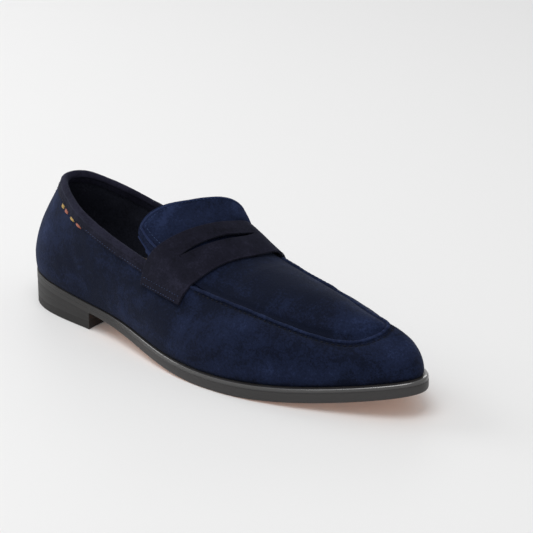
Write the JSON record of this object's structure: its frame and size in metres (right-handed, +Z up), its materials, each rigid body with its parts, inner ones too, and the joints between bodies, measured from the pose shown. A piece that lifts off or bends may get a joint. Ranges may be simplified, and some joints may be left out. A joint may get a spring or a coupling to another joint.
{
  "type": "penny loafer",
  "caption": "Low slip-on suede penny loafer for the right foot, with apron toe, slotted saddle strap, bound collar, leather sole and stacked heel.",
  "frame": {"origin": "on the floor plane under the middle of the shoe's length and breadth", "axes": "+X along the sole to the toe, +Y to the inner side of the foot, +Z up"},
  "size_m": [0.3064, 0.1006, 0.0912],
  "materials": {
    "suede": "napped navy suede",
    "suede_piping": "navy suede, rounded seam",
    "nubuck": "near-black nubuck",
    "lining": "dark matte lining leather",
    "lining_tan": "tan lining leather",
    "sock": "dark matte leather",
    "stiffener": "fibreboard",
    "foam": "closed-cell foam",
    "cork": "ground cork",
    "steel": "spring steel",
    "brass": "brass nail",
    "outsole": "tan leather with black edge",
    "welt": "black waxed edge",
    "heel": "black stacked leather",
    "top_piece": "black rubber",
    "thread_mustard": "waxed thread",
    "thread_navy": "waxed thread"
  },
  "bodies": {
    "root": {"outsole": "outsole", "welt": "welt", "shank": "steel", "cork_filler": "cork", "heel_lift_1": "heel", "heel_lift_2": "heel", "heel_top_piece": "top_piece", "heel_nails": "brass", "insole_board": "stiffener", "footbed_foam": "foam", "sock_liner": "sock", "side_wall": "suede", "side_lining": "lining", "heel_counter": "stiffener", "toe_puff": "stiffener", "side_stay_lateral": "stiffener", "side_stay_medial": "stiffener", "apron": "suede", "apron_lining": "lining_tan", "tongue_underlay": "suede", "apron_piping": "suede_piping", "collar_binding": "nubuck", "backstay": "suede", "saddle_strap": "nubuck", "contrast_tacks": "thread_mustard"}
  },
  "joints": []
}
